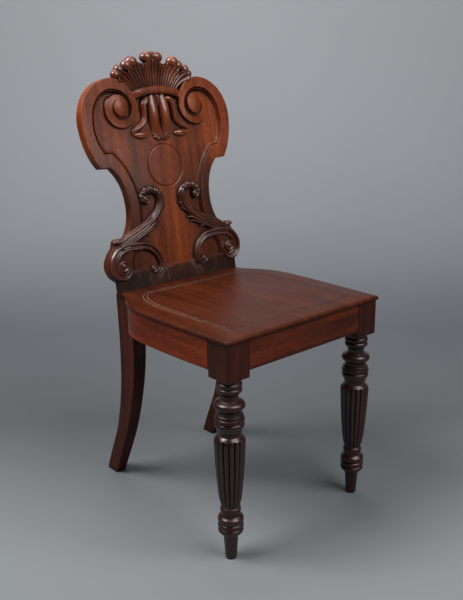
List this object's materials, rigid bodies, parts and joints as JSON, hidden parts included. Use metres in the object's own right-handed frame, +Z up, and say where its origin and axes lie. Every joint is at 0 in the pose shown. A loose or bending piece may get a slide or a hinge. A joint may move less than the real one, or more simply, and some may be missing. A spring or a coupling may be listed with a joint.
{
  "type": "hall chair",
  "caption": "Carved mahogany hall chair with a scrolled board back, shell crest, shaped plank seat, turned and reeded front legs and swept rear legs.",
  "frame": {"origin": "on the floor, under the middle of the chair's bounding box", "axes": "+Z up, the sitter faces -Y, +X to the right of a viewer who faces the front of the chair"},
  "size_m": [0.418, 0.483, 0.9233],
  "materials": {
    "polished_mahogany": "french polished, glossy",
    "dark_mahogany": "french polished, glossy, darkened in the recesses",
    "bare_beech": "unpolished",
    "steel": "bright, slightly oxidised"
  },
  "bodies": {
    "root": {"back_board": "polished_mahogany", "back_dowel_1": "bare_beech", "back_dowel_2": "bare_beech", "back_dowel_3": "bare_beech", "back_dowel_4": "bare_beech", "back_rail": "dark_mahogany", "corner_block_front_left": "bare_beech", "corner_block_front_right": "bare_beech", "corner_block_rear_left": "bare_beech", "corner_block_rear_right": "bare_beech", "crest_dowel_left": "bare_beech", "crest_dowel_right": "bare_beech", "front_leg_left": "dark_mahogany", "front_leg_right": "dark_mahogany", "front_rail": "polished_mahogany", "glue_block_front_left": "bare_beech", "glue_block_front_right": "bare_beech", "glue_block_left": "bare_beech", "glue_block_rear": "bare_beech", "glue_block_right": "bare_beech", "pendant_leaf": "dark_mahogany", "rear_leg_left": "dark_mahogany", "rear_leg_right": "dark_mahogany", "scroll_carving_left": "dark_mahogany", "scroll_carving_right": "dark_mahogany", "seat_board": "polished_mahogany", "seat_screw_front_left": "steel", "seat_screw_front_right": "steel", "seat_screw_rear_left": "steel", "seat_screw_rear_right": "steel", "shell_crest": "dark_mahogany", "side_rail_left": "polished_mahogany", "side_rail_right": "polished_mahogany"}
  },
  "joints": []
}
